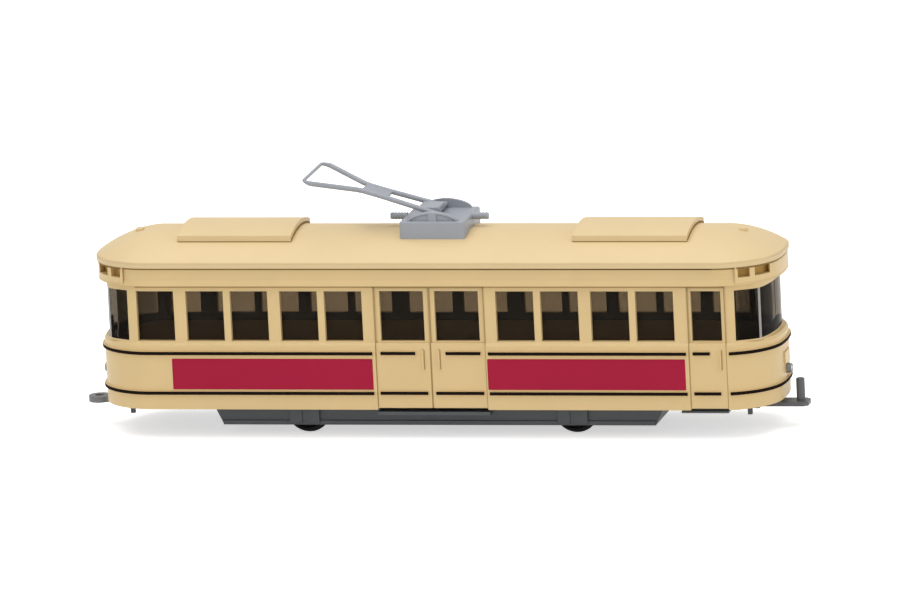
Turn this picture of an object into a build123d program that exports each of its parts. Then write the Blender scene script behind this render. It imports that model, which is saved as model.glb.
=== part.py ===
from build123d import *
import os
from math import atan2, cos, radians, sin, sqrt, tan

# Plastic 1:87 model of a two-axle tram with centre doors.
# Millimetres. +X is the end with the coupling pin, +Z is up, and the wheels stand on Z = 0.
# The car has half-turn symmetry about Z: each cab door is at the right of its own end.

# Plan of the walls: straight sides, tapered cabs, rounded corners and bowed ends
HALF_LENGTH = 64.0
HALF_WIDTH = 13.0
TAPER_X = 55.8
TAPER_DEG = 27.0
SHOULDER_R = 10.0
CORNER_R = 10.0
END_R = 34.0
SHARPEST_R = 0.3
FAR = 80.0
# Small round things that nothing turns in are drawn eight-sided
SIDES = 8

# Levels of the body
SKIRT_Z = 5.85
LEDGE_Z = 17.9
BAND_Z = 18.4
SILL_Z = 18.7
HEAD_Z = 28.1
LIP_Z = 29.2
FASCIA_Z = 29.5
BOARD_Z = 30.3
ROOF_Z = 32.6
RIM_Z = 33.45

# How far each layer stands out from the wall
BEAD_OUT = 0.4
LIP_OUT = 0.55
LETTERBOARD_OUT = 0.1
FASCIA_OUT = 0.5
RIM_OUT = 0.75
BEAD_HEIGHT = 0.66
LOW_BEAD_Z = 9.0
HIGH_BEAD_Z = 16.5

# Window band and the room inside
BAND_IN = 0.35
BAND_END_IN = 1.0
BAND_CORNER_R = 4.0
BAND_END_R = 30.0
WALL = 1.05
WALL_CUT = 3.0
CAB_WINDOW_X = 57.15
PANE_IN = 0.1
GLASS = 0.7
GLASS_Z = (17.4, 29.0)

# Side windows from the centre doors outwards, on both halves of both sides: inner X, outer X
SIDE_WINDOWS = ((1.05, 9.3), (12.6, 19.7), (21.0, 28.1), (30.4, 37.5), (38.8, 45.9))
PLAIN_END_WINDOW = (48.2, 55.3)
CAB_DOOR_WINDOW = (49.1, 54.7)

# Doors
CENTRE_DOOR = (-10.4, 10.4)
CAB_DOOR = (48.4, 55.5)
CENTRE_BEAD_GAP = (-10.9, 10.9)
CAB_BEAD_GAP = (48.0, 55.9)
DOOR_IN = 0.25
DOOR_FOOT_Z = 6.15
DOOR_HEAD_Z = 28.95
SEAM = 0.3
DOOR_BEAD_OUT = 0.1
HANDLE_OUT = 0.12
HANDLE_WIDTH = 0.36
HANDLE_Z = (13.5, 17.2)
CENTRE_HANDLE_X = 1.5
CAB_HANDLE_X = 54.3

# Bead stretches on the door leaves: inner X, outer X, level
CENTRE_DOOR_BEADS = ((0.75, 9.75, LOW_BEAD_Z), (2.85, 9.4, HIGH_BEAD_Z))
CAB_DOOR_BEADS = ((49.2, 54.2, LOW_BEAD_Z), (49.2, 52.4, HIGH_BEAD_Z))

# Cab ends: corner vents, measured along the taper from the shoulder, and a plain raised panel
FASCIA_X = 57.6
VENTS = ((2.4, 4.7), (5.75, 9.0))
VENT_REACH = (-2.0, 4.0)
VENT_Z = (30.6, 32.45)
VENT_DEPTH = 1.2
PANEL_Y = 2.1
PANEL_Z = (12.1, 14.35)
PANEL_OUT = 0.25

# Headlamps
LAMP_Z = 10.95
LAMP_R = 0.95
LAMP_X = (62.6, 64.6)

# Roof: the walls' plan drawn in step by step along an arc up to the crown: Z, distance outwards
ROOF_STEPS = ((33.3, 0.65), (35.1, -2.3), (36.5, -6.0), (37.3, -9.5))
ROOF_HOLLOW = (52.0, 9.0, 34.6)
ROOF_BOARD_X = (26.5, 48.0)
ROOF_BOARD_Y = 7.9
ROOF_BOARD_Z = (35.6, 37.5, 38.75)
NUB_X = (56.4, 57.6)
NUB_Y = 0.8
NUB_Z = (36.0, 37.2)

# Wheelsets
AXLE_X = 25.3
FLANGE_R = 4.2
AXLE_R = 0.75
RUN_GAP = 0.05
AXLE_Y = 8.15
# Wheel profile from the bore's inner end round to its outer end: radius, Y
WHEEL_PROFILE = (
    (AXLE_R, 5.2),
    (FLANGE_R, 5.2),
    (3.7, 5.9),
    (3.7, 7.3),
    (AXLE_R, 7.3),
)

# Chassis
FLOOR_Z = (6.7, 7.9)
FRAME_TOP_X = 43.0
FRAME_FOOT_X = 40.8
FRAME_FOOT_Z = 2.05
FRAME_Y = (7.6, 8.6)
FRAME_END = 1.2
FRAME_BEAD = 0.8
FRAME_BEAD_OUT = 0.3
SPINE = (42.0, 1.5, 5.3)
WELL_X = 4.9
WELL_Y = (4.5, 7.6)
WELL_TOP_Z = 9.1
WELL_WALL = 0.8
BEARING_Y = 8.25
AXLE_BOX_X = (0.5, 2.8)
AXLE_BOX_OUT = 0.6
AXLE_BOX_Z = (2.4, 5.9)
AXLE_CAP_R = 1.5
AXLE_CAP_OUT = 0.4
CENTRE_STEP = (10.6, 12.4, 4.7, 5.35)
CAB_STEP_X = (46.5, 55.3)
CAB_STEP_Y = (10.4, 12.4)
CAB_STEP_Z = (5.2, 5.55)
CAB_STEP_RISER_Y = 11.4
# Clip pegs under the cabs: X, Y, width, foot Z
CLIP_PEG = (58.3, 7.3, 0.8, 3.9)

# Couplings
PIVOT_X = 58.0
PIVOT_R = 0.5
PIVOT_HEAD = 0.65
PIVOT_HEAD_Z = (3.45, 3.8)
HUB_R = 1.7
HUB_Z = (3.9, 6.4)
DRAWBAR_Y = 2.0
DRAWBAR_CHAMFER = 0.8
PIN_X = 66.4
PIN_R = 0.8
PIN_TOP_Z = 8.9
PIN_PLATE_Z = (4.1, 4.9)
PIN_PLATE_END_X = 68.0
EYE_X = 66.4
EYE_OUT_R = 2.1
EYE_R = 0.9
EYE_BAR_Y = 1.5
EYE_PLATE_Z = (4.5, 5.6)

# Collector
BASE_X = 6.15
BASE_Y = (6.9, 6.4)
BASE_Z = (36.3, 39.35, 39.9)
CHEEK_Y = (5.6, 6.4)
CHEEK_X = (4.8, 2.36)
CHEEK_TOP_Z = 41.65
POCKET_DEPTH = 0.35
POCKET_Z = (40.2, 41.3)
POCKET_X = (0.75, 3.6, 1.9)
CONDUIT_X = (3.6, 9.15)
CONDUIT_Z = 39.57
CONDUIT_R = 0.62
BOW_PIVOT_Z = 40.75
BOW_PIVOT_R = 0.4
BOW_PIVOT_Y = 6.05
BOW_BORE_Y = 6.15
BOW_RISE_DEG = 16.6
BOW_LENGTH = 24.7
BOW_HEAD_Y = 9.1
BOW_ROOT_Y = 3.4
BOW_WAIST = ((11.0, 2.5), (14.8, 2.6))
BOW_ARM_R = 0.5
BOW_HEAD_R = 0.3
BOW_WEB_X = (9.6, 14.6)
BOW_WEB = 0.5
BOW_ROOT_X = (-0.5, 2.8)
BOW_ROOT = 1.0


def on_circle(centre, r, angle):
    return (centre[0] + r * cos(angle), centre[1] + r * sin(angle))


def plan(half_length, half_width, corner_r, end_r, shoulder_r, taper_x):
    """Tram outline seen from above: sides, tapers, corners and ends that meet without kinks."""
    taper = radians(TAPER_DEG)
    along = (cos(taper), sin(taper))
    end_centre = half_length - end_r

    # The corner's centre lies a corner radius inside the taper and inside the end arc
    gx = taper_x - corner_r * along[1] - end_centre
    gy = -half_width + corner_r * along[0]
    dot = gx * along[0] + gy * along[1]
    reach = -dot + sqrt(dot**2 - gx**2 - gy**2 + (end_r - corner_r) ** 2)
    corner = (end_centre + gx + reach * along[0], gy + reach * along[1])
    shoulder = (taper_x - shoulder_r * tan(taper / 2), -half_width + shoulder_r)

    side = -radians(90)
    slant = side + taper
    end = atan2(corner[1], corner[0] - end_centre)
    quarter = [on_circle(shoulder, shoulder_r, a) for a in (side, (side + slant) / 2, slant)]
    quarter += [on_circle(corner, corner_r, a) for a in (slant, (slant + end) / 2, end)]
    edges = []
    for sx, sy in ((1, 1), (1, -1), (-1, -1), (-1, 1)):
        p = [(sx * x, sy * y) for x, y in quarter]
        edges += [ThreePointArc(p[0], p[1], p[2]), Line(p[2], p[3]), ThreePointArc(p[3], p[4], p[5])]
    first, last = quarter[0], quarter[-1]
    for sign in (1, -1):
        tip = (sign * half_length, 0)
        edges.append(ThreePointArc((sign * last[0], last[1]), tip, (sign * last[0], -last[1])))
        edges.append(Line((-first[0], sign * first[1]), (first[0], sign * first[1])))
    return make_face(edges)


def parallel_plan(out, half_length, corner_r, end_r):
    """Tram outline whose sides, shoulders and tapers lie a distance outwards from the walls."""
    corner_r = max(corner_r, SHARPEST_R)
    shoulder_r = max(SHOULDER_R + out, SHARPEST_R)
    taper_x = TAPER_X + out * tan(radians(TAPER_DEG) / 2)
    return plan(half_length, HALF_WIDTH + out, corner_r, end_r, shoulder_r, taper_x)


def wall_plan(out=0.0):
    """Plan of the walls, moved outwards by a distance."""
    return parallel_plan(out, HALF_LENGTH + out, CORNER_R + out, END_R + out)


def band_plan(out=0.0):
    """Plan of the window band, which is set in and has sharper corners, moved outwards by a distance."""
    half_length = HALF_LENGTH - BAND_END_IN + out
    return parallel_plan(out - BAND_IN, half_length, BAND_CORNER_R + out, BAND_END_R + out)


def slab(face, z0, z1):
    return extrude(Pos(0, 0, z0) * face, z1 - z0, dir=(0, 0, 1))


def slope(low, z0, high, z1):
    return loft([Pos(0, 0, z0) * low, Pos(0, 0, z1) * high], ruled=True)


def block(x, y, z):
    """Box between two values on each axis."""
    size = Box(x[1] - x[0], abs(y[1] - y[0]), z[1] - z[0])
    return Pos((x[0] + x[1]) / 2, (y[0] + y[1]) / 2, (z[0] + z[1]) / 2) * size


def both_ends(shape):
    """The shape and its copy half a turn about the car's middle."""
    return [shape, Rot(0, 0, 180) * shape]


def upright(x, r, z):
    """Upright cylinder on the car's centre line."""
    return Pos(x, 0, (z[0] + z[1]) / 2) * Cylinder(r, z[1] - z[0])


def eight_sided(r, length):
    """Bar of eight sides along Z, centred on the origin."""
    return extrude(RegularPolygon(r, SIDES), length / 2, both=True)


def across(x, z, r, y):
    """Cylinder that runs across the car from -y to y."""
    return Pos(x, 0, z) * Rot(90, 0, 0) * Cylinder(r, 2 * y)


def side_prism(points, y0, y1):
    """Outline in X and Z, extruded across the car."""
    face = Plane.XZ * make_face(Polyline(*points, close=True).edges())
    return extrude(Pos(0, y0, 0) * face, y1 - y0, dir=(0, 1, 0))


def make_beads():
    """Raised mouldings round the body, interrupted at the doors."""
    half = BEAD_HEIGHT / 2
    beads = []
    for level in (LOW_BEAD_Z, HIGH_BEAD_Z):
        bead = slab(wall_plan(BEAD_OUT), level - half, level + half)
        bead -= both_ends(block(CENTRE_BEAD_GAP, (-FAR, 0), (0, FAR)))
        bead -= both_ends(block(CAB_BEAD_GAP, (-FAR, 0), (0, FAR)))
        beads.append(bead)
    return beads


def make_door_trim():
    """Bead stretches and upright handles on the door leaves of one side."""
    half = BEAD_HEIGHT / 2
    room = -HALF_WIDTH + WALL
    handles = [CENTRE_HANDLE_X, -CENTRE_HANDLE_X, CAB_HANDLE_X]
    stretches = [*CENTRE_DOOR_BEADS, *CAB_DOOR_BEADS]
    stretches += [(-outer, -inner, level) for inner, outer, level in CENTRE_DOOR_BEADS]
    trim = []
    for inner, outer, level in stretches:
        face = -HALF_WIDTH - DOOR_BEAD_OUT
        trim.append(block((inner, outer), (face, room), (level - half, level + half)))
    for x in handles:
        width = (x - HANDLE_WIDTH / 2, x + HANDLE_WIDTH / 2)
        trim.append(block(width, (-HALF_WIDTH - HANDLE_OUT, room), HANDLE_Z))
    return trim


def make_fascias():
    """Thicker board under the roof edge round each cab."""
    board = slab(wall_plan(FASCIA_OUT), FASCIA_Z, ROOF_Z)
    return both_ends(board & block((FASCIA_X, FAR), (-FAR, FAR), (FASCIA_Z, ROOF_Z)))


def make_vents():
    """Vents sunk to an even depth in the fascias, two at each corner."""
    skin = slab(wall_plan(FASCIA_OUT), *VENT_Z) - slab(wall_plan(FASCIA_OUT - VENT_DEPTH), *VENT_Z)
    vents = []
    for start, stop in VENTS:
        vent = block((start, stop), VENT_REACH, VENT_Z)
        vent = Pos(TAPER_X, -HALF_WIDTH, 0) * Rot(0, 0, TAPER_DEG) * vent
        vents += both_ends(skin & vent) + both_ends(skin & mirror(vent, Plane.XZ))
    return vents


def make_window_cuts():
    """Openings in both sides and the wrap-round opening of each cab."""
    through = (-FAR, -HALF_WIDTH + WALL_CUT)
    glass = (SILL_Z, HEAD_Z)
    spans = [*SIDE_WINDOWS, CAB_DOOR_WINDOW]
    spans += [(-outer, -inner) for inner, outer in (*SIDE_WINDOWS, PLAIN_END_WINDOW)]
    cuts = [block((CAB_WINDOW_X, FAR), (-FAR, FAR), glass)]
    cuts += [block(span, through, glass) for span in spans]
    return [copy for cut in cuts for copy in both_ends(cut)]


def make_shell():
    """Cream body moulding: walls, window band, lip and letterboard under the roof edge, doors set in."""
    shell = slab(wall_plan(), SKIRT_Z, LEDGE_Z)
    shell += slope(wall_plan(), LEDGE_Z, wall_plan(-BAND_IN), BAND_Z)
    shell += slab(band_plan(), BAND_Z, LIP_Z)
    shell += slope(wall_plan(LIP_OUT), LIP_Z, wall_plan(LETTERBOARD_OUT), BOARD_Z)
    shell += slab(wall_plan(LETTERBOARD_OUT), BOARD_Z, ROOF_Z)
    shell += make_fascias()
    shell -= make_vents()
    shell += make_beads()
    panel_x = (HALF_LENGTH - WALL, HALF_LENGTH + PANEL_OUT)
    shell += both_ends(block(panel_x, (-PANEL_Y, PANEL_Y), PANEL_Z))

    door_y = -HALF_WIDTH + DOOR_IN
    band_y = door_y + BAND_IN
    for door in (CENTRE_DOOR, CAB_DOOR):
        shell -= both_ends(block(door, (-FAR, door_y), (0, BAND_Z)))
        shell -= both_ends(block(door, (-HALF_WIDTH, band_y), (BAND_Z, DOOR_HEAD_Z)))
        shell -= both_ends(block(door, (-FAR, -HALF_WIDTH + WALL_CUT), (0, DOOR_FOOT_Z)))
    seam = (-SEAM / 2, SEAM / 2)
    shell -= both_ends(block(seam, (-FAR, band_y + DOOR_IN), (0, DOOR_HEAD_Z)))
    for piece in make_door_trim():
        shell += both_ends(piece)

    shell -= make_window_cuts()
    shell -= slab(band_plan(-WALL), 0, FAR)
    return shell - both_ends(lamp_rod(HALF_LENGTH - WALL_CUT, FAR))


def make_roof():
    """Rim, crowned dome with rounded ends, two raised boards and a small nub over each cab."""
    roof = loft([Pos(0, 0, z) * wall_plan(out) for z, out in ROOF_STEPS], ruled=True)
    roof += slab(wall_plan(RIM_OUT), ROOF_Z, RIM_Z)
    length, half_width, ceiling_z = ROOF_HOLLOW
    roof -= block((-length, length), (-half_width, half_width), (ROOF_Z, ceiling_z))

    foot_z, edge_z, top_z = ROOF_BOARD_Z
    y = ROOF_BOARD_Y
    sides = Polyline((y, edge_z), (y, foot_z), (-y, foot_z), (-y, edge_z))
    arch = ThreePointArc((-y, edge_z), (0, top_z), (y, edge_z))
    section = Plane.YZ * make_face([*sides.edges(), arch])
    x0, x1 = ROOF_BOARD_X
    roof += both_ends(extrude(Pos(x0, 0, 0) * section, x1 - x0, dir=(1, 0, 0)))
    roof += both_ends(block(NUB_X, (-NUB_Y, NUB_Y), NUB_Z))
    return roof - block((-BASE_X, BASE_X), (-BASE_Y[0], BASE_Y[0]), (BASE_Z[0], FAR))


def make_glazing():
    """Smoked insert: a ring behind the side windows that fills the cab openings."""
    room = slab(band_plan(-WALL - GLASS), *GLASS_Z)
    ring = slab(band_plan(-WALL), *GLASS_Z) - room
    panes = slab(band_plan(-PANE_IN), SILL_Z, HEAD_Z) - room
    cab = block((CAB_WINDOW_X, FAR), (-FAR, FAR), (SILL_Z, HEAD_Z))
    return ring + [panes & end for end in both_ends(cab)]


def make_underframe():
    """Tub under the floor: side frames with a bead along the foot, and sloped ends."""
    top_z = FLOOR_Z[0]
    outer = [(FRAME_TOP_X, top_z), (FRAME_FOOT_X, FRAME_FOOT_Z)]
    inner = [(x - FRAME_END, z) for x, z in outer]
    tub = side_prism(outer + [(-x, z) for x, z in reversed(outer)], -FRAME_Y[1], FRAME_Y[1])
    tub -= side_prism(inner + [(-x, z) for x, z in reversed(inner)], -FRAME_Y[0], FRAME_Y[0])
    bead_y = FRAME_Y[1] + FRAME_BEAD_OUT
    bead_z = (FRAME_FOOT_Z, FRAME_FOOT_Z + FRAME_BEAD)
    bead = block((-FRAME_FOOT_X, FRAME_FOOT_X), (-bead_y, -FRAME_Y[0]), bead_z)
    length, half_width, foot_z = SPINE
    return tub + both_ends(bead) + block((-length, length), (-half_width, half_width), (foot_z, top_z))


def make_axle_guards(x):
    """Axle box guides and an eight-sided cap on the near side frame at one axle."""
    face = -FRAME_Y[1]
    guards = [Pos(x, face, FLANGE_R) * Rot(90, 0, 0) * eight_sided(AXLE_CAP_R, 2 * AXLE_CAP_OUT)]
    for sign in (1, -1):
        span = sorted(x + sign * edge for edge in AXLE_BOX_X)
        guards.append(block(span, (face - AXLE_BOX_OUT, face), AXLE_BOX_Z))
    return guards


def make_chassis():
    """Floor with wheel wells, underframe, steps and the upright pins the couplings swing on."""
    chassis = slab(band_plan(-WALL), *FLOOR_Z)
    well_y = WELL_Y[1] + WELL_WALL
    for x in (AXLE_X, -AXLE_X):
        cover_x = (x - WELL_X - WELL_WALL, x + WELL_X + WELL_WALL)
        chassis += block(cover_x, (-well_y, well_y), (FLOOR_Z[0], WELL_TOP_Z + WELL_WALL))
    chassis += make_underframe()
    for x in (AXLE_X, -AXLE_X):
        well = block((x - WELL_X, x + WELL_X), (-WELL_Y[1], -WELL_Y[0]), (FLOOR_Z[0], WELL_TOP_Z))
        chassis -= [well, mirror(well, Plane.XZ)]
        for guard in make_axle_guards(x):
            chassis += both_ends(guard)
        chassis -= across(x, FLANGE_R, AXLE_R + RUN_GAP, BEARING_Y)

    step_x, step_y, *step_z = CENTRE_STEP
    chassis += both_ends(block((-step_x, step_x), (-step_y, -FRAME_Y[0]), step_z))
    chassis += both_ends(block(CAB_STEP_X, (-CAB_STEP_Y[1], -CAB_STEP_Y[0]), CAB_STEP_Z))
    riser_y = (-CAB_STEP_RISER_Y, -CAB_STEP_Y[0])
    chassis += both_ends(block(CAB_STEP_X, riser_y, (CAB_STEP_Z[0], FLOOR_Z[0])))
    peg_x, peg_y, width, foot_z = CLIP_PEG
    for y in (peg_y, -peg_y):
        peg = block((0, width), (y - width / 2, y + width / 2), (foot_z, FLOOR_Z[0]))
        chassis += both_ends(Pos(peg_x - width / 2, 0, 0) * peg)
    chassis += both_ends(upright(PIVOT_X, PIVOT_R, (PIVOT_HEAD_Z[0], FLOOR_Z[0])))
    head_x = (PIVOT_X - PIVOT_HEAD, PIVOT_X + PIVOT_HEAD)
    return chassis + both_ends(block(head_x, (-PIVOT_HEAD, PIVOT_HEAD), PIVOT_HEAD_Z))


def make_wheel():
    """Flanged wheel on the +Y end of an axle at the origin."""
    return revolve(make_face(Polyline(*WHEEL_PROFILE, close=True).edges()), Axis.Y)


def lamp_rod(x0, x1):
    """Round bar of a headlamp's size and level, from x0 to x1."""
    return Pos((x0 + x1) / 2, 0, LAMP_Z) * Rot(0, 90, 0) * Cylinder(LAMP_R, x1 - x0)


def make_hub(x):
    """Collar of a coupling round its chassis pin, before the bore."""
    return Pos(x, 0, (HUB_Z[0] + HUB_Z[1]) / 2) * eight_sided(HUB_R, HUB_Z[1] - HUB_Z[0])


def make_pin_coupling():
    """Drawbar with an upright pin, swinging on the chassis pin under the cab at +X."""
    bar = block((PIVOT_X, PIN_PLATE_END_X), (-DRAWBAR_Y, DRAWBAR_Y), PIN_PLATE_Z)
    bar = chamfer(bar.edges().filter_by(Axis.Z).sort_by(Axis.X)[-2:], DRAWBAR_CHAMFER)
    bar += [upright(PIN_X, PIN_R, (PIN_PLATE_Z[1], PIN_TOP_Z)), make_hub(PIVOT_X)]
    return bar - upright(PIVOT_X, PIVOT_R + RUN_GAP, (0, FAR))


def make_eye_coupling():
    """Drawbar with a flat eye, swinging on the chassis pin under the cab at -X."""
    bar = block((-EYE_X, -PIVOT_X), (-EYE_BAR_Y, EYE_BAR_Y), EYE_PLATE_Z)
    bar += [upright(-EYE_X, EYE_OUT_R, EYE_PLATE_Z), make_hub(-PIVOT_X)]
    bar -= upright(-EYE_X, EYE_R, (0, FAR))
    return bar - upright(-PIVOT_X, PIVOT_R + RUN_GAP, (0, FAR))


def make_collector_base():
    """Box with bevelled long edges, two pocketed cheeks and a conduit end at each side."""
    foot_z, bevel_z, top_z = BASE_Z
    wide, narrow = BASE_Y
    half = [(wide, foot_z), (wide, bevel_z), (narrow, top_z)]
    section = make_face(Polyline(*half, *[(-y, z) for y, z in reversed(half)], close=True).edges())
    base = extrude(Plane.YZ * section, BASE_X, both=True)
    low, high = CHEEK_X
    outline = [(low, top_z), (high, CHEEK_TOP_Z), (-high, CHEEK_TOP_Z), (-low, top_z)]
    base += both_ends(side_prism(outline, -CHEEK_Y[1], -CHEEK_Y[0]))
    post, long, short = POCKET_X
    for sign in (1, -1):
        pocket = [(sign * post, POCKET_Z[0]), (sign * long, POCKET_Z[0]), (sign * short, POCKET_Z[1])]
        pocket.append((sign * post, POCKET_Z[1]))
        base -= both_ends(side_prism(pocket, -CHEEK_Y[1], -CHEEK_Y[1] + POCKET_DEPTH))
    near, far = CONDUIT_X
    conduit = Rot(0, 90, 0) * eight_sided(CONDUIT_R, far - near)
    base += both_ends(Pos((near + far) / 2, 0, CONDUIT_Z) * conduit)
    return base - across(0, BOW_PIVOT_Z, BOW_PIVOT_R + RUN_GAP, BOW_BORE_Y)


def make_bow():
    """Lyre-shaped bow drawn flat along -X from its pivot at the origin, then raised into place."""
    path = Polyline((0, BOW_ROOT_Y), *[(-x, y) for x, y in BOW_WAIST], (-BOW_LENGTH, BOW_HEAD_Y))
    section = Plane(origin=path @ 0, z_dir=path % 0) * RegularPolygon(BOW_ARM_R, SIDES)
    arm = sweep(section, path=path, transition=Transition.RIGHT)
    head = Pos(-BOW_LENGTH, 0, 0) * Rot(90, 0, 0) * eight_sided(BOW_HEAD_R, 2 * BOW_HEAD_Y)
    bow = arm + mirror(arm, Plane.XZ) + head
    web_x = (-BOW_WEB_X[1], -BOW_WEB_X[0])
    web_y = BOW_WAIST[0][1]
    bow += block(web_x, (-web_y, web_y), (-BOW_WEB / 2, BOW_WEB / 2))
    root_x = (-BOW_ROOT_X[1], -BOW_ROOT_X[0])
    root_y = BOW_ROOT_Y + BOW_ARM_R
    bow += block(root_x, (-root_y, root_y), (-BOW_ROOT / 2, BOW_ROOT / 2))
    bow = Rot(0, BOW_RISE_DEG, 0) * bow + across(0, 0, BOW_PIVOT_R, BOW_PIVOT_Y)
    return Pos(0, 0, BOW_PIVOT_Z) * bow


def make_pieces():
    """Every sub-part by name, in its place on the car."""
    lamp = lamp_rod(*LAMP_X)
    pieces = {
        "body_shell": make_shell(),
        "roof": make_roof(),
        "glazing": make_glazing(),
        "chassis": make_chassis(),
        "headlamp_front": lamp,
        "headlamp_rear": Rot(0, 0, 180) * lamp,
        "coupling_front": make_pin_coupling(),
        "coupling_rear": make_eye_coupling(),
        "collector_base": make_collector_base(),
        "collector_bow": make_bow(),
    }
    left = make_wheel()
    right = mirror(left, Plane.XZ)
    for end, x in (("front", AXLE_X), ("rear", -AXLE_X)):
        pieces[f"axle_{end}"] = across(x, FLANGE_R, AXLE_R, AXLE_Y)
        pieces[f"wheel_{end}_left"] = Pos(x, 0, FLANGE_R) * left
        pieces[f"wheel_{end}_right"] = Pos(x, 0, FLANGE_R) * right
    return pieces


os.makedirs("parts", exist_ok=True)
for name, piece in make_pieces().items():
    export_step(piece, f"parts/{name}.step")
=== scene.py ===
from math import atan2, cos, pi, radians, sin, sqrt, tan

import bmesh
import bpy
import numpy as np
from mathutils import Matrix, Vector


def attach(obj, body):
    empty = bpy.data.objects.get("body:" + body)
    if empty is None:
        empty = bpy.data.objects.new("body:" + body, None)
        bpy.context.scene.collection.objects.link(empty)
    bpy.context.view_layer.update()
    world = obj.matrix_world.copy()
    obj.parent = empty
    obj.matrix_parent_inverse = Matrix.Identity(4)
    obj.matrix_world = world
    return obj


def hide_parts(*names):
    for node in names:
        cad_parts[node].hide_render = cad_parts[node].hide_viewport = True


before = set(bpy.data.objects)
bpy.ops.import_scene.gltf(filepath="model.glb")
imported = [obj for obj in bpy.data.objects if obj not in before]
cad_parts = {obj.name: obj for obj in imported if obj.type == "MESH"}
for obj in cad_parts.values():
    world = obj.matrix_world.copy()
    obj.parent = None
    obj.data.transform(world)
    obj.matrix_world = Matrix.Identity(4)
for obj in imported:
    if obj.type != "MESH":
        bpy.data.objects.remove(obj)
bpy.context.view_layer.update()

# Plastic 1:87 model of a two-axle tram with centre doors: dressing, light and camera.
# Lengths below are in millimetres on the car's own axes and become metres when a mesh is made.
# The near side faces -Y, and the far side is the near one turned half round.
MM = 0.001

# Meshes: edges that turn more than this stay crisp, and points nearer than this many metres are merged
CRISP_ANGLE = radians(35.0)
MERGE_REACH = 1e-7

# Plan of the walls: straight sides, a rounded shoulder, a taper, a rounded corner and a bowed end
HALF_LENGTH = 64.0
HALF_WIDTH = 13.0
TAPER_X = 55.8
TAPER = radians(27.0)
SHOULDER_R = 10.0
CORNER_R = 10.0
END_R = 34.0
ARC_POINTS = 25

# Black lines printed on the beads, and their gaps at the doors
LOW_BEAD_Z = 9.0
HIGH_BEAD_Z = 16.5
BEAD_OUT = 0.4
DOOR_BEAD_OUT = 0.1
PRINT_HALF_HEIGHT = 0.31
PRINT_HALF_DEPTH = 0.08
PRINT_SINK = 0.04
CENTRE_GAP_X = 10.9
CAB_GAP_X = (48.0, 55.9)

# Lines on the near door leaves: first x, last x, height
DOOR_PRINTS = (
    (0.75, 9.75, LOW_BEAD_Z),
    (2.85, 9.4, HIGH_BEAD_Z),
    (-9.75, -0.75, LOW_BEAD_Z),
    (-9.4, -2.85, HIGH_BEAD_Z),
    (49.2, 54.2, LOW_BEAD_Z),
    (49.2, 52.4, HIGH_BEAD_Z),
)

# Red side boards
BOARDS_X = ((10.6, 47.7), (-49.0, -11.0))
BOARD_Z = (9.65, 15.45)
BOARD_SINK = 0.02
BOARD_OUT = 0.07

# Painted shadow under the roof's rim, where the roof meets the walls: a dark line
RIM_SHADOW_Z = (32.2, 32.58)
RIM_SHADOW_HALF_DEPTH = 0.04
LETTERBOARD_OUT = 0.1
FASCIA_OUT = 0.5
FASCIA_X = 57.6

# Corner vents: reach along the taper from the shoulder, height, and how far out of the walls the floors lie
VENTS = ((2.4, 4.7), (5.75, 9.0))
VENT_Z = (30.6, 32.45)
VENT_FLOOR_OUT = -0.7
# Painted shade on the vent floors: its rise off the floor, half depth, and how far it keeps from the vents'
# edges
VENT_FLOOR_RISE = 0.02
VENT_FLOOR_HALF_DEPTH = 0.04
VENT_EASE = 0.03

# Brown lines, near side: joints round and between the doors, darkened partly as painted shade, and painted
# shadow under the lip and beside the handles; x, z and -y of each face
LINE_THICKNESS = 0.1
DOOR_AND_SHADOW_LINES = (
    ((-10.4, -10.22), (6.3, 28.95), 12.78),
    ((10.22, 10.4), (6.3, 28.95), 12.78),
    ((-10.4, 10.4), (28.72, 28.95), 12.78),
    ((-0.16, 0.16), (6.2, 28.7), 12.62),
    ((48.4, 48.56), (6.3, 28.95), 12.78),
    ((55.34, 55.5), (6.3, 28.95), 12.78),
    ((48.4, 55.5), (28.72, 28.95), 12.78),
    ((-55.4, 55.4), (28.76, 29.15), 12.68),
    ((1.66, 1.86), (13.4, 17.1), 12.78),
    ((-1.34, -1.14), (13.4, 17.1), 12.78),
    ((54.46, 54.68), (13.4, 17.1), 12.78),
)

# Pale ribs at the bends of the cab glass: a painted highlight of the light that the bends catch
POST_AT = (61.24, 9.21)
POST_NORMAL = radians(35.0)
POST_Z = (18.7, 28.1)
POST_HALF_WIDTH = 0.28
POST_HALF_DEPTH = 0.1

# Roof crown: an arc across the car, followed all round by drawing the plan in
CROWN_R = 24.85
CROWN_CENTRE_Z = 12.77
CROWN_OUT = (0.72, -9.3)
CROWN_SPINE_X = 51.0
CROWN_ROWS = 26
CROWN_INNER_ROWS = 6
CROWN_WALL = 0.3

# Painted shadow lines under the edges of the two roof boards, and the nubs near the roof's ends
ROOF_BOARD_X = (26.5, 48.0)
ROOF_BOARD_Y = 7.85
ROOF_LINE_RISE = 0.2
ROOF_LINE_HALF_HEIGHT = 0.22
ROOF_LINE_HALF_DEPTH = 0.04
ROOF_SIDE_RISE = (-0.1, 0.14)
ROOF_SIDE_OUT = 0.09
NUB_X = (56.3, 57.7)
NUB_Y = (-0.85, 0.85)
NUB_Z = (36.3, 37.4)

# Wheels: radius, and distance from the car's middle, of each corner of the section
AXLE_X = 25.3
AXLE_Z = 4.2
WHEEL_PROFILE = (
    (0.75, 5.2), (4.02, 5.2), (4.16, 5.28), (4.2, 5.42), (4.2, 5.55), (4.08, 5.72), (3.82, 5.86), (3.72, 6.0),
    (3.69, 6.7), (3.66, 7.22), (3.58, 7.3), (3.2, 7.3), (3.1, 7.24), (2.95, 6.98), (2.8, 6.9), (1.75, 6.9),
    (1.6, 6.98), (1.45, 7.24), (1.35, 7.3), (0.75, 7.3),
)

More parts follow.
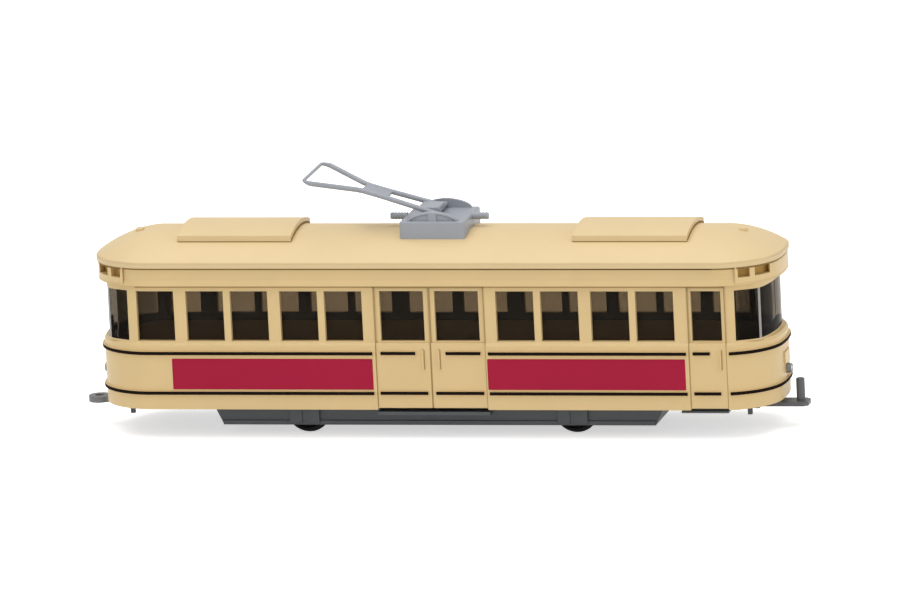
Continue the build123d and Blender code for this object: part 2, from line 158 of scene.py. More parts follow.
# Headlamps
LAMP_Z = 10.95
LAMP_X = (64.5, 65.0)
LAMP_RIM_R = 0.77
LAMP_RIM_HALF_WIDTH = 0.11
LAMP_LIP = 0.1
LENS_R = 0.68
LENS_DOME = 0.2

# Coupling pin
PIN_X = 66.4
PIN_R = 0.8
PIN_TOP_Z = 8.9
PIN_DOME = 0.25
PIN_DOME_POWER = 0.6
PIN_SINK = 0.01

# Collector base: block, cheeks with their inner face, web and outer face, and the post on each cheek
BASE_X = (-6.15, 6.15)
BASE_Y = (-6.9, 6.9)
BASE_Z = (36.3, 39.9)
CHEEK_X = 4.8
CHEEK_RISE = 1.75
CHEEK_Y = (5.6, 6.15, 6.4)
CHEEK_SINK = 0.2
RIB_R = 0.3
CHEEK_POST_X = (-0.8, 0.8)
CHEEK_POST_DROP = 0.15
CHEEK_POST_SINK = 0.1

# Conduit sleeves
CONDUIT_Z = 39.57
CONDUIT_X = (6.0, 9.22)
CONDUIT_R = 0.64
CONDUIT_RIB = 0.05
CONDUIT_PITCH = 0.56

# Bow, drawn flat with its pivot at the origin: corners and bends of the left half, from root to head
BOW_PIVOT_Z = 40.75
BOW_RISE = radians(16.6)
BOW_ROUTE = ((0.0, 3.4), (-11.0, 2.5), (-14.8, 2.6), (-24.7, 9.1))
BOW_BENDS = (0.0, 4.0, 4.0, 1.2)
BOW_ARM_R = 0.48
BOW_HEAD_R = 0.32
BOW_THIN_X = 23.2
BOW_THIN_RUN = 1.2
BOW_WEB_X = (-14.6, -9.6)
BOW_WEB_Y = (-2.5, 2.5)
BOW_WEB_HALF = 0.25
BOW_ROOT_X = (-2.8, 0.4)
BOW_ROOT_Y = (-3.5, 3.5)
BOW_ROOT_HALF = 0.3
HINGE_X = (-3.5, 0.5)
HINGE_Y = (-2.7, 2.7)
HINGE_Z = (41.1, 41.75)
PIVOT_R = 0.4
PIVOT_Y = (-5.5, 5.5)

# Finishes: x where the glazing's tint deepens into the cabs as painted shade, and reach and tone of the
# painted shade in narrow corners
CAB_SHADE_X = (56.5, 58.0)
CORNER_SHADE_REACH = 0.8
CORNER_SHADE_TONE = 0.35

# Stage, in metres; lights by name, place, width and watts
FLOOR_HALF_SIZE = 3.0
FLOOR_LIFT = 0.58
WORLD_LIGHT = 0.5
LIGHT_AIM = (0.0, 0.0, 0.02)
LIGHTS = (
    ("overhead", (-0.05, -0.1, 0.75), 1.0, 5.6),
    ("front_fill", (-0.2, -0.8, 0.3), 0.6, 1.0),
    ("end_fill", (0.8, -0.2, 0.25), 0.5, 1.3),
)

# Camera: distance and clipping in metres, and its aim, right and up of a point over the car's middle
CAMERA_AZIMUTH = radians(13.065)
CAMERA_ELEVATION = radians(12.285)
CAMERA_ROLL = radians(2.799)
CAMERA_DISTANCE = 2.5
CAMERA_CLIP = (0.1, 30.0)
CAMERA_LENS = 541.9
CAMERA_SENSOR = 36.0
CAMERA_AIM_Z = 22.0
CAMERA_AIM_RIGHT = 1.056
CAMERA_AIM_UP = 1.615


def outline():
    """Closed plan of the walls as points and outward normals, from the near side's front shoulder.

    One quarter is three arcs, r (cos a, sin a) about their centres: the shoulder, the corner and
    half the bowed end. The corner's centre lies its radius inside the straight taper and inside the
    end arc. The other quarters are its mirror image and its half turn.
    """
    along = np.array([cos(TAPER), sin(TAPER)])
    end_centre = np.array([HALF_LENGTH - END_R, 0.0])
    start = np.array([TAPER_X - CORNER_R * along[1], CORNER_R * along[0] - HALF_WIDTH]) - end_centre
    dot = start @ along
    reach = -dot + sqrt(dot**2 - start @ start + (END_R - CORNER_R) ** 2)
    corner = start + reach * along
    end = atan2(corner[1], corner[0])
    side = -pi / 2
    shoulder = (TAPER_X - SHOULDER_R * tan(TAPER / 2), SHOULDER_R - HALF_WIDTH)
    arcs = (
        (shoulder, SHOULDER_R, np.linspace(side, side + TAPER, ARC_POINTS)),
        (end_centre + corner, CORNER_R, np.linspace(side + TAPER, end, ARC_POINTS)),
        (end_centre, END_R, np.linspace(end, 0, ARC_POINTS)[1:]),
    )
    normal = np.vstack([np.stack([np.cos(a), np.sin(a)], axis=1) for _, _, a in arcs])
    point = np.vstack([np.array(c) + r * np.stack([np.cos(a), np.sin(a)], axis=1) for c, r, a in arcs])
    flip = np.array([1.0, -1.0])
    point = np.vstack([point, point[-2::-1] * flip])
    normal = np.vstack([normal, normal[-2::-1] * flip])
    return np.vstack([point, -point]), np.vstack([normal, -normal])


def walls():
    """Once round the walls from the middle of the near side: points, normals and the distance travelled."""
    point, normal = outline()
    point = np.vstack([[0.0, -HALF_WIDTH], point, [0.0, -HALF_WIDTH]])
    normal = np.vstack([[0.0, -1.0], normal, [0.0, -1.0]])
    step = np.linalg.norm(np.diff(point, axis=0), axis=1)
    return point, normal, np.concatenate([[0.0], np.cumsum(step)])


def stretch(first, last):
    """Walls from one distance travelled to another: points and normals, straight between samples."""
    point, normal, travel = walls()
    inside = travel[(travel > first) & (travel < last)]
    at = np.concatenate([[first], inside, [last]])
    sample = [np.interp(at, travel, column) for column in (*point.T, *normal.T)]
    return np.stack(sample[:2], axis=1), np.stack(sample[2:], axis=1)


def carried(profile, point, normal):
    """Closed profile of (out, z) carried along a plan path: each point moves out along its normal."""
    profile = np.asarray(profile)
    flat = point[:, None, :] + normal[:, None, :] * profile[None, :, :1]
    height = np.broadcast_to(profile[None, :, 1:], flat.shape[:2] + (1,))
    return np.concatenate([flat, height], axis=2)


def rounded_bar(centre, half_width, half_height, power=0.35, count=20):
    """Superellipse section: centre + (a sgn(cos t)|cos t|^p, b sgn(sin t)|sin t|^p)."""
    t = np.linspace(0, 2 * pi, count, endpoint=False) + pi / count
    across, up = np.cos(t), np.sin(t)
    bulge = np.stack([np.sign(across) * np.abs(across) ** power, np.sign(up) * np.abs(up) ** power], axis=1)
    return np.array(centre) + bulge * [half_width, half_height]


def rounded_rectangle(x, z, corner_r, count=7):
    """Outline of a rectangle with quarter-circle corners, as points and outward normals."""
    quarter = np.linspace(0, pi / 2, count)
    angle = (quarter[None, :] + (np.arange(4) * pi / 2)[:, None]).ravel()
    normal = np.stack([np.cos(angle), np.sin(angle)], axis=1)
    middle = np.array([sum(x) / 2, sum(z) / 2])
    half = np.array([x[1] - x[0], z[1] - z[0]]) / 2 - corner_r
    sign = np.repeat([[1, 1], [-1, 1], [-1, -1], [1, -1]], count, axis=0)
    return middle + sign * half + normal * corner_r, normal


def arch(half_width, rise, foot_z, sink, power=1.7, count=33):
    """Hump over a level, (|x| / w)^p + (z / h)^p = 1, as points and outward normals.

    It is closed by two feet, a sink below the level.
    """
    t = np.linspace(0, pi, count)
    across = np.sign(np.cos(t)) * np.abs(np.cos(t)) ** (2 / power)
    up = np.abs(np.sin(t)) ** (2 / power)
    slope = np.sign(across) * np.abs(across) ** (power - 1)
    normal = np.stack([slope / half_width, up ** (power - 1) / rise], axis=1)
    normal /= np.linalg.norm(normal, axis=1)[:, None]
    point = np.stack([across * half_width, foot_z + up * rise], axis=1)
    feet = np.array([[-half_width, foot_z - sink], [half_width, foot_z - sink]])
    return np.vstack([point, feet]), np.vstack([normal, [[-1.0, 0.0], [1.0, 0.0]]])


def plate_of(point, normal, y_back, y_front, edge, ring=1.3):
    """Thin plate facing -Y: the outline runs from the back to the face and draws in over a quarter-round
    edge, then a little further over the flat face, so that the face shades flat."""
    turn = np.linspace(0, pi / 2, 5)
    inset = np.concatenate([[0.0], edge * (1 - np.cos(turn)), [ring * edge]])
    depth = y_front + edge * (1 - np.sin(turn)) * np.sign(y_back - y_front)
    depth = np.concatenate([[y_back], depth, [y_front]])
    flat = point[None] - normal[None] * inset[:, None, None]
    y = np.broadcast_to(depth[:, None, None], flat.shape[:2] + (1,))
    return np.concatenate([flat[..., :1], y, flat[..., 1:]], axis=2)


def plate(x, z, y_back, y_front, corner_r, edge):
    """Thin rectangular plate facing -Y, with rounded corners and a soft edge."""
    return plate_of(*rounded_rectangle(x, z, corner_r), y_back, y_front, edge)


def lying(grid):
    """A plate turned to lie flat, its face up."""
    return np.stack([grid[..., 0], grid[..., 2], -grid[..., 1]], axis=2)


def lying_plate(x, y, z, corner_r, edge):
    """Plate that lies flat with its face up, from one height to another."""
    return lying(plate(x, y, -z[0], -z[1], corner_r, edge))


def turned(profile, count=48):
    """Profile of (radius, distance) spun about an axis: (d, r cos t, r sin t) for t round the circle."""
    radius, distance = np.asarray(profile).T
    t = np.linspace(0, 2 * pi, count, endpoint=False)
    ring = np.stack([np.cos(t), np.sin(t)], axis=1)
    spun = radius[:, None, None] * ring[None]
    along = np.broadcast_to(distance[:, None, None], spun.shape[:2] + (1,))
    return np.concatenate([along, spun], axis=2)


def rounded_route(corners, bends, count=9):
    """Flat route through corners, each eased by an arc tangent to both runs, as points.

    An arc of radius r between runs that meet at an angle w starts r / tan(w / 2) before the corner,
    and its points lie on the circle about the centre on the bisector.
    """
    corners = np.asarray(corners, float)
    parts = [corners[:1]]
    for before, corner, after, bend in zip(corners, corners[1:], corners[2:], bends[1:-1]):
        u = (before - corner) / np.linalg.norm(before - corner)
        v = (after - corner) / np.linalg.norm(after - corner)
        half = np.arccos(np.clip(u @ v, -1, 1)) / 2
        centre = corner + (u + v) / np.linalg.norm(u + v) * bend / sin(half)
        first = corner + u * bend / tan(half) - centre
        last = corner + v * bend / tan(half) - centre
        t = np.linspace(0, 1, count)[:, None]
        chord = first * (1 - t) + last * t
        parts.append(centre + chord * (bend / np.linalg.norm(chord, axis=1))[:, None])
    return np.vstack([*parts, corners[-1:]])


def tube(route, radius, count=16):
    """Round tube along a flat route: centre + r (cos t n, sin t up), n being the route's side normal."""
    heading = np.gradient(route, axis=0)
    heading /= np.linalg.norm(heading, axis=1)[:, None]
    side = np.stack([-heading[:, 1], heading[:, 0]], axis=1)
    t = np.linspace(0, 2 * pi, count, endpoint=False)
    radius = np.asarray(radius)[:, None, None]
    flat = route[:, None, :] + side[:, None, :] * radius * np.cos(t)[None, :, None]
    up = np.broadcast_to(radius * np.sin(t)[None, :, None], flat.shape[:2] + (1,))
    return np.concatenate([flat, up], axis=2)


def half_turn(grid):
    """The same shape half a turn about the car's upright middle."""
    return grid * [-1, -1, 1]


def four_corners(grid):
    """The same shape at the car's four corners, by mirroring along and across."""
    return [grid * [end, hand, 1] for end in (1, -1) for hand in (1, -1)]


def sheet_mesh(name, grids, caps=(True, True)):
    """Mesh of one or more point grids: quads join neighbours, rings close, and end rings get caps."""
    points, faces, start = [], [], 0
    for grid in grids:
        rows, around = grid.shape[:2]
        index = start + np.arange(rows * around).reshape(rows, around)
        after = np.roll(index, -1, axis=1)
        quads = np.stack([index[:-1], after[:-1], after[1:], index[1:]], axis=-1)
        faces += quads.reshape(-1, 4).tolist()
        faces += [ring.tolist() for ring, cap in zip((index[0], index[-1]), caps) if cap]
        points.append(grid.reshape(-1, 3) * MM)
        start += rows * around
    mesh = bpy.data.meshes.new(name)
    mesh.from_pydata(np.vstack(points).tolist(), [], faces)
    merged = bmesh.new()
    merged.from_mesh(mesh)
    bmesh.ops.remove_doubles(merged, verts=merged.verts, dist=MERGE_REACH)
    bmesh.ops.recalc_face_normals(merged, faces=merged.faces)
    merged.to_mesh(mesh)
    merged.free()
    mesh.shade_smooth()
    mesh.set_sharp_from_angle(angle=CRISP_ANGLE)
    return mesh


def add_piece(name, grids, material, body, stands_for=(), caps=(True, True)):
    """Object from point grids, with its finish, riding on a body of the car."""
    piece = bpy.data.objects.new(name, sheet_mesh(name, grids, caps))
    bpy.context.scene.collection.objects.link(piece)
    piece.data.materials.append(material)
    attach(piece, body)
    if stands_for:
        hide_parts(*stands_for)
    return piece


def new_tree(name):
    """Material with an empty node tree, and that tree."""
    material = bpy.data.materials.new(name)
    material.use_nodes = True
    material.node_tree.nodes.clear()
    return material, material.node_tree


def add_node(tree, kind, inputs=None, **settings):
    """Node with its settings; each input is a plain value or the socket that feeds it."""
    made = tree.nodes.new(kind)
    for key, value in settings.items():
        setattr(made, key, value)
    for key, value in (inputs or {}).items():
        if isinstance(value, bpy.types.NodeSocket):
            tree.links.new(value, made.inputs[key])
        else:
            made.inputs[key].default_value = value
    return made


def finish_with(tree, shader):
    """Join a shader to the material's surface."""
    add_node(tree, "ShaderNodeOutputMaterial", {"Surface": shader.outputs[0]})


def make_moulding_group():
    """Moulded plastic: fine grain from the mould, and slow unevenness where the plastic flowed and shrank."""
    group = bpy.data.node_groups.new("moulding", "ShaderNodeTree")
    defaults = {"Grain Scale": 6000.0, "Flow Scale": 90.0, "Mean Roughness": 0.4, "Roughness Spread": 0.08}
    for label, value in defaults.items():
        socket = group.interface.new_socket(name=label, in_out="INPUT", socket_type="NodeSocketFloat")
        socket.default_value = value
    for label in ("Height", "Flow", "Roughness"):
        group.interface.new_socket(name=label, in_out="OUTPUT", socket_type="NodeSocketFloat")
    given = add_node(group, "NodeGroupInput").outputs
    place = add_node(group, "ShaderNodeTexCoord").outputs["Object"]
    grain = add_node(group, "ShaderNodeTexNoise", {
        "Vector": place, "Scale": given["Grain Scale"], "Detail": 2.0, "Roughness": 0.6})
    flow = add_node(group, "ShaderNodeTexNoise", {
        "Vector": place, "Scale": given["Flow Scale"], "Detail": 3.0, "Roughness": 0.5, "Distortion": 0.6})
    swell = add_node(group, "ShaderNodeMath", {0: flow.outputs["Fac"], 1: 2.5}, operation="MULTIPLY")
    height = add_node(group, "ShaderNodeMath", {
        0: grain.outputs["Fac"], 1: swell.outputs[0]}, operation="ADD")
    uneven = add_node(group, "ShaderNodeMath", {
        0: flow.outputs["Fac"], 1: grain.outputs["Fac"]}, operation="ADD")
    centred = add_node(group, "ShaderNodeMath", {0: uneven.outputs[0], 1: 1.0}, operation="SUBTRACT")
    roughness = add_node(group, "ShaderNodeMath", {
        0: centred.outputs[0], 1: given["Roughness Spread"], 2: given["Mean Roughness"]},
        operation="MULTIPLY_ADD")
    add_node(group, "NodeGroupOutput", {
        "Height": height.outputs[0], "Flow": flow.outputs["Fac"], "Roughness": roughness.outputs[0]})
    return group


def plastic(name, shade, deep, roughness, bump=0.04, edge=0.1, specular=0.5, corner_shade=0.0):
    """Moulded plastic whose colour drifts between two shades, with mould grain, softened edges and
    narrow corners darkened towards a deeper tone as painted shade."""
    material, tree = new_tree(name)
    moulding = add_node(tree, "ShaderNodeGroup", {
        "Mean Roughness": roughness, "Roughness Spread": 0.1}, node_tree=MOULDING)
    drift = add_node(tree, "ShaderNodeMapRange", {
        "Value": moulding.outputs["Flow"], "From Min": 0.3, "From Max": 0.7})
    colour = add_node(tree, "ShaderNodeMix", {
        "Factor": drift.outputs["Result"], "A": (*deep, 1.0), "B": (*shade, 1.0)}, data_type="RGBA")
    # Painted shade: where ambient occlusion finds a narrow corner, the colour falls towards a deeper tone
    if corner_shade:
        open_sky = add_node(tree, "ShaderNodeAmbientOcclusion", {"Distance": CORNER_SHADE_REACH * MM}, samples=6)
        corner = add_node(tree, "ShaderNodeMapRange", {
            "Value": open_sky.outputs["AO"], "From Min": 0.06, "From Max": 0.5,
            "To Min": corner_shade, "To Max": 0.0})
        colour = add_node(tree, "ShaderNodeMix", {
            "Factor": corner.outputs["Result"], "A": colour.outputs["Result"],
            "B": (*[c * c * CORNER_SHADE_TONE for c in deep], 1.0)}, data_type="RGBA")
    eased = add_node(tree, "ShaderNodeBevel", {"Radius": edge * MM}, samples=4)
    relief = add_node(tree, "ShaderNodeBump", {
        "Height": moulding.outputs["Height"], "Strength": bump, "Distance": 0.05 * MM,
        "Normal": eased.outputs[0]})
    finish_with(tree, add_node(tree, "ShaderNodeBsdfPrincipled", {
        "Base Color": colour.outputs["Result"], "Roughness": moulding.outputs["Roughness"],
        "Specular IOR Level": specular, "Normal": relief.outputs[0]}))
    return material


def smoked_plastic(name, tint, roughness, ior, clear=1.0, coat=0.0, cab=1.0):
    """Clear plastic with a tint, a faint haze and ripple, and, as painted shade, a tint that is deeper by the
    factor cab in the cabs."""
    material, tree = new_tree(name)
    moulding = add_node(tree, "ShaderNodeGroup", {
        "Mean Roughness": roughness, "Roughness Spread": 0.03}, node_tree=MOULDING)
    relief = add_node(tree, "ShaderNodeBump", {
        "Height": moulding.outputs["Flow"], "Strength": 0.05, "Distance": 0.02 * MM})
    place = add_node(tree, "ShaderNodeSeparateXYZ", {
        0: add_node(tree, "ShaderNodeTexCoord").outputs["Object"]})
    reach = add_node(tree, "ShaderNodeMath", {0: place.outputs["X"]}, operation="ABSOLUTE")
    # Painted shade: the tint deepens where the glazing passes into the cabs
    cab_shade_mask = add_node(tree, "ShaderNodeMapRange", {
        "Value": reach.outputs[0], "From Min": CAB_SHADE_X[0] * MM, "From Max": CAB_SHADE_X[1] * MM})
    colour = add_node(tree, "ShaderNodeMix", {
        "Factor": cab_shade_mask.outputs["Result"], "A": (*tint, 1.0), "B": (*[c * cab for c in tint], 1.0)},
        data_type="RGBA")
    finish_with(tree, add_node(tree, "ShaderNodeBsdfPrincipled", {
        "Base Color": colour.outputs["Result"], "Roughness": moulding.outputs["Roughness"],
        "Transmission Weight": clear, "IOR": ior, "Coat Weight": coat, "Coat Roughness": 0.04,
        "Normal": relief.outputs[0]}))
    return material


def turned_steel(name):
    """Drawn steel wire: fine rings round the axle, which lies along Y."""
    material, tree = new_tree(name)
    place = add_node(tree, "ShaderNodeTexCoord").outputs["Object"]
    rings = add_node(tree, "ShaderNodeMapping", {"Vector": place, "Scale": (300.0, 9000.0, 300.0)})
    scratch = add_node(tree, "ShaderNodeTexNoise", {"Vector": rings.outputs[0], "Scale": 1.0, "Detail": 3.0})
    roughness = add_node(tree, "ShaderNodeMapRange", {
        "Value": scratch.outputs["Fac"], "To Min": 0.2, "To Max": 0.38})
    relief = add_node(tree, "ShaderNodeBump", {
        "Height": scratch.outputs["Fac"], "Strength": 0.1, "Distance": 0.01 * MM})
    shade = add_node(tree, "ShaderNodeMix", {
        "Factor": scratch.outputs["Fac"], "A": (0.5, 0.5, 0.51, 1.0), "B": (0.62, 0.62, 0.62, 1.0)},
        data_type="RGBA")
    finish_with(tree, add_node(tree, "ShaderNodeBsdfPrincipled", {
        "Base Color": shade.outputs["Result"], "Roughness": roughness.outputs["Result"], "Metallic": 1.0,
        "Normal": relief.outputs[0]}))
    return material


def background_seen(tree):
    """Socket that is 1 where the background meets the eye, plainly, by gloss or through glass, and else 0."""
    path = add_node(tree, "ShaderNodeLightPath").outputs
    plain = add_node(tree, "ShaderNodeMath", {
        0: path["Is Camera Ray"], 1: path["Is Glossy Ray"]}, operation="MAXIMUM")
    seen = add_node(tree, "ShaderNodeMath", {
        0: plain.outputs[0], 1: path["Is Transmission Ray"]}, operation="MAXIMUM")
    return seen.outputs[0]


def studio_floor(name):
    """Pale paper: diffuse for light and shadow, with a little glow that lifts it to white for the eye."""
    material, tree = new_tree(name)
    paper = add_node(tree, "ShaderNodeBsdfDiffuse", {"Color": (0.9, 0.9, 0.9, 1.0)})
    lift = add_node(tree, "ShaderNodeMath", {0: background_seen(tree), 1: FLOOR_LIFT}, operation="MULTIPLY")
    glow = add_node(tree, "ShaderNodeEmission", {"Strength": lift.outputs[0]})
    finish_with(tree, add_node(tree, "ShaderNodeAddShader", {0: paper.outputs[0], 1: glow.outputs[0]}))
    return material


def make_bead_prints(material):
    """Black lines on the raised beads: a rounded bar over the bead's nose, carried round the walls."""
    _, _, travel = walls()
    near_side = (CENTRE_GAP_X, CAB_GAP_X[0])
    round_end = (CAB_GAP_X[1], travel[-1] / 2 - CENTRE_GAP_X)
    lines = []
    for level in (LOW_BEAD_Z, HIGH_BEAD_Z):
        section = rounded_bar((BEAD_OUT - PRINT_SINK, level), PRINT_HALF_DEPTH, PRINT_HALF_HEIGHT)
        lines += [carried(section, *stretch(*run)) for run in (near_side, round_end)]
    for left, right, level in DOOR_PRINTS:
        section = rounded_bar((DOOR_BEAD_OUT - PRINT_SINK, level), PRINT_HALF_DEPTH, PRINT_HALF_HEIGHT)
        point = np.array([[left, -HALF_WIDTH], [right, -HALF_WIDTH]])
        lines.append(carried(section, point, np.array([[0.0, -1.0], [0.0, -1.0]])))
    grids = [grid for line in lines for grid in (line, half_turn(line))]
    add_piece("bead_prints", grids, material, "car")


def make_side_boards(material):
    """Plain boards on the lower panels, two on each side."""
    back, front = BOARD_SINK - HALF_WIDTH, -HALF_WIDTH - BOARD_OUT
    near = [plate(x, BOARD_Z, back, front, corner_r=0.18, edge=0.05) for x in BOARDS_X]
    add_piece("side_boards", near + [half_turn(board) for board in near], material, "car")


def make_rim_shadow_line(material):
    """Painted shadow under the roof's rim, where the roof sits on the walls: a thin dark bar carried along
    the letterboards and fascias.
    """
    point, normal = outline()
    point, normal = np.vstack([point, point[:1]]), np.vstack([normal, normal[:1]])
    out = np.where(np.abs(point[:, 0]) > FASCIA_X, FASCIA_OUT, LETTERBOARD_OUT)
    section = rounded_bar((0.0, sum(RIM_SHADOW_Z) / 2), RIM_SHADOW_HALF_DEPTH, (RIM_SHADOW_Z[1] - RIM_SHADOW_Z[0]) / 2)
    line = carried(section, point + normal * out[:, None], normal)
    add_piece("rim_shadow_line", [line], material, "car")


def make_vent_shade_floors(material):
    """Painted shade on the floors of the corner vents: a thin dark bar carried along the stretch of the walls
    that lies between two distances along the straight taper, counted from the shoulder's corner."""
    point, normal, travel = walls()
    front = travel < travel[-1] / 4
    reach = (point + normal * VENT_FLOOR_OUT - [TAPER_X, -HALF_WIDTH]) @ [cos(TAPER), sin(TAPER)]
    half_height = (VENT_Z[1] - VENT_Z[0]) / 2 - VENT_EASE
    section = rounded_bar(
        (VENT_FLOOR_OUT + VENT_FLOOR_RISE, sum(VENT_Z) / 2), VENT_FLOOR_HALF_DEPTH, half_height, power=0.1)
    grids = []
    for start, stop in VENTS:
        ends = np.interp([start + VENT_EASE, stop - VENT_EASE], reach[front], travel[front])
        grids += four_corners(carried(section, *stretch(*ends)))
    add_piece("vent_shade_floors", grids, material, "car")


def make_door_lines_and_shadows(material):
    """Brown lines as thin plates: joints where the door leaves meet the walls and each other, darkened
    partly as painted shade, and painted shadow under the lip and beside the handles."""
    near = [plate(x, z, LINE_THICKNESS - face, -face, corner_r=0.06, edge=0.02) for x, z, face in DOOR_AND_SHADOW_LINES]
    add_piece("door_lines_and_shadows", near + [half_turn(line) for line in near], material, "car")


def make_cab_bend_highlights(material):
    """Upright ribs at the bends of the cab glass, pale as a painted highlight: a rounded section set square
    to the glass, carried up.
    """
    deep, wide = rounded_bar((0.0, 0.0), POST_HALF_DEPTH, POST_HALF_WIDTH).T
    normal = np.array([cos(POST_NORMAL), sin(POST_NORMAL)])
    section = np.array(POST_AT) + deep[:, None] * normal + wide[:, None] * [-normal[1], normal[0]]
    post = np.stack([np.insert(section, 2, z, axis=1) for z in POST_Z])
    add_piece("cab_bend_highlights", four_corners(post), material, "car")


def crown_height(y):
    """Height of the roof's arc at a distance from the centre line: centre + sqrt(R^2 - y^2)."""
    return CROWN_CENTRE_Z + np.sqrt(CROWN_R**2 - y**2)


def make_board_shadow_lines(material):
    """Painted shadow under the edges of the roof boards: brown bars across the roof that follow its arc, and
    straight ones along.
    """
    y = np.linspace(-ROOF_BOARD_Y, ROOF_BOARD_Y, 33)
    section = rounded_bar((0.0, ROOF_LINE_RISE), ROOF_LINE_HALF_DEPTH, ROOF_LINE_HALF_HEIGHT)
    grids = []
    for x in (*ROOF_BOARD_X, *[-x for x in ROOF_BOARD_X]):
        flat = np.stack(np.broadcast_arrays(x + section[None, :, 0], y[:, None]), axis=2)
        grids.append(np.dstack([flat, crown_height(y)[:, None] + section[None, :, 1]]))
    foot, top = crown_height(ROOF_BOARD_Y) + np.array(ROOF_SIDE_RISE)
    front = -ROOF_BOARD_Y - ROOF_SIDE_OUT
    side = plate(ROOF_BOARD_X, (foot, top), -ROOF_BOARD_Y, front, corner_r=0.05, edge=0.02)
    add_piece("roof_board_shadow_lines", grids + four_corners(side), material, "car")


def make_roof_nubs(material):
    """Small raised pads near the roof ends."""
    nub = lying_plate(NUB_X, NUB_Y, NUB_Z, corner_r=0.3, edge=0.15)
    add_piece("roof_nubs", [nub, half_turn(nub)], material, "car")


def make_roof_crown(material):
    """Smooth crown of the roof: curves parallel to the plan, a distance out from the walls, stand at
    z = centre + sqrt(R^2 - (half width + out)^2). Inside the last of them the rows run straight to the
    centre line and keep to the same arc."""
    point, normal = outline()
    out = np.linspace(*CROWN_OUT, CROWN_ROWS)
    rows = point[None] + normal[None] * out[:, None, None]
    edge = rows[-1]
    spine = np.stack([np.clip(edge[:, 0], -CROWN_SPINE_X, CROWN_SPINE_X), np.zeros(len(edge))], axis=1)
    part = np.linspace(0, 1, CROWN_INNER_ROWS + 1)[1:]
    inner = edge[None] * (1 - part)[:, None, None] + spine[None] * part[:, None, None]
    out = np.concatenate([out, out[-1] - part * (HALF_WIDTH + out[-1])])
    rows = np.concatenate([rows, inner])
    z = np.broadcast_to(crown_height(HALF_WIDTH + out)[:, None, None], rows.shape[:2] + (1,))
    grid = np.concatenate([rows, z], axis=2)
    crown = add_piece("roof_crown", [grid], material, "car", caps=(False, False))
    wall = crown.modifiers.new("wall", "SOLIDIFY")
    wall.thickness = CROWN_WALL * MM
    wall.offset = -1.0


def make_lamp_fronts(rim_finish, lens_finish):
    """Rim tube with a rounded lip, and a domed lens, on the face of each headlamp, turned about its axis."""
    foot, face = LAMP_X
    lip = np.linspace(0, pi, 7)
    ring_r = LAMP_RIM_R + LAMP_RIM_HALF_WIDTH * np.cos(lip)
    ring = np.stack([ring_r, face - LAMP_LIP + LAMP_LIP * np.sin(lip)], axis=1)
    ring = np.vstack([[ring_r[0], foot], ring, [ring_r[-1], foot]])
    arc = np.linspace(0, pi / 2, 7)
    dome = np.stack([LENS_R * np.cos(arc), face - LENS_DOME + LENS_DOME * np.sin(arc)], axis=1)
    rim = turned(ring, 32) + [0, 0, LAMP_Z]
    lens = turned(dome, 32) + [0, 0, LAMP_Z]
    add_piece("headlamp_rims", [rim, half_turn(rim)], rim_finish, "car", caps=(False, False))
    add_piece("headlamp_lenses", [lens, half_turn(lens)], lens_finish, "car")


def make_pin_cap(material):
    """Softened top of the coupling pin: a low dome, (r cos(t)^p, h sin t), turned about the pin's axis."""
    arc = np.linspace(0, pi / 2, 7)
    cap = turned(np.stack([PIN_R * np.cos(arc) ** PIN_DOME_POWER, PIN_DOME * np.sin(arc)], axis=1), 32)
    upright = np.stack([cap[..., 1] + PIN_X, cap[..., 2], cap[..., 0] + PIN_TOP_Z - PIN_SINK], axis=2)
    add_piece("pin_cap", [upright], material, "front_coupling")


def make_wheels(material):
    """Wheels with a rounded flange and a dished face, turned about each axle."""
    wheel = turned((*WHEEL_PROFILE, WHEEL_PROFILE[0]), 64)
    for end, x in (("front", AXLE_X), ("rear", -AXLE_X)):
        for hand, sign in (("left", 1), ("right", -1)):
            upright = np.stack([wheel[..., 1] + x, wheel[..., 0] * sign, wheel[..., 2] + AXLE_Z], axis=2)
            add_piece(f"wheel_{end}_{hand}_turned", [upright], material, f"wheelset_{end}",
                      stands_for=(f"wheel_{end}_{hand}",), caps=(False, False))


def make_collector_base(material):
    """Moulded box under the bow: a block with soft edges and two humped cheeks, each with a rib along its
    hump and a middle post on the outer face."""
    top_z = BASE_Z[1]
    inner, web, outer = CHEEK_Y
    block = lying_plate(BASE_X, BASE_Y, BASE_Z, corner_r=0.4, edge=0.28)
    hump = plate_of(*arch(CHEEK_X, CHEEK_RISE, top_z, CHEEK_SINK), -inner, -web, edge=0.08)
    line, _ = arch(CHEEK_X - RIB_R, CHEEK_RISE - RIB_R, top_z, CHEEK_SINK)
    rib = tube(line[:-2], np.full(len(line) - 2, RIB_R))
    rib = np.stack([rib[..., 0], rib[..., 2] - outer + RIB_R, rib[..., 1]], axis=2)
    post_z = (top_z - CHEEK_SINK, top_z + CHEEK_RISE - CHEEK_POST_DROP)
    post = plate(CHEEK_POST_X, post_z, -inner - CHEEK_POST_SINK, -outer, corner_r=0.12, edge=0.08)
    cheek = [hump, rib, post]
    add_piece("collector_base_moulded", [block, *cheek, *[half_turn(grid) for grid in cheek]], material,
              "car", stands_for=("collector_base",))


def make_conduit_sleeves(material):
    """Ribbed sleeves on the conduit ends: radius r + a cos of the distance along the conduit."""
    along = np.linspace(*CONDUIT_X, 49)
    ribs = CONDUIT_R + CONDUIT_RIB * np.cos(2 * pi * (along - along[0]) / CONDUIT_PITCH)
    sleeve = turned(np.stack([ribs, along], axis=1), 28) + [0, 0, CONDUIT_Z]
    add_piece("conduit_sleeves", [sleeve, half_turn(sleeve)], material, "car")


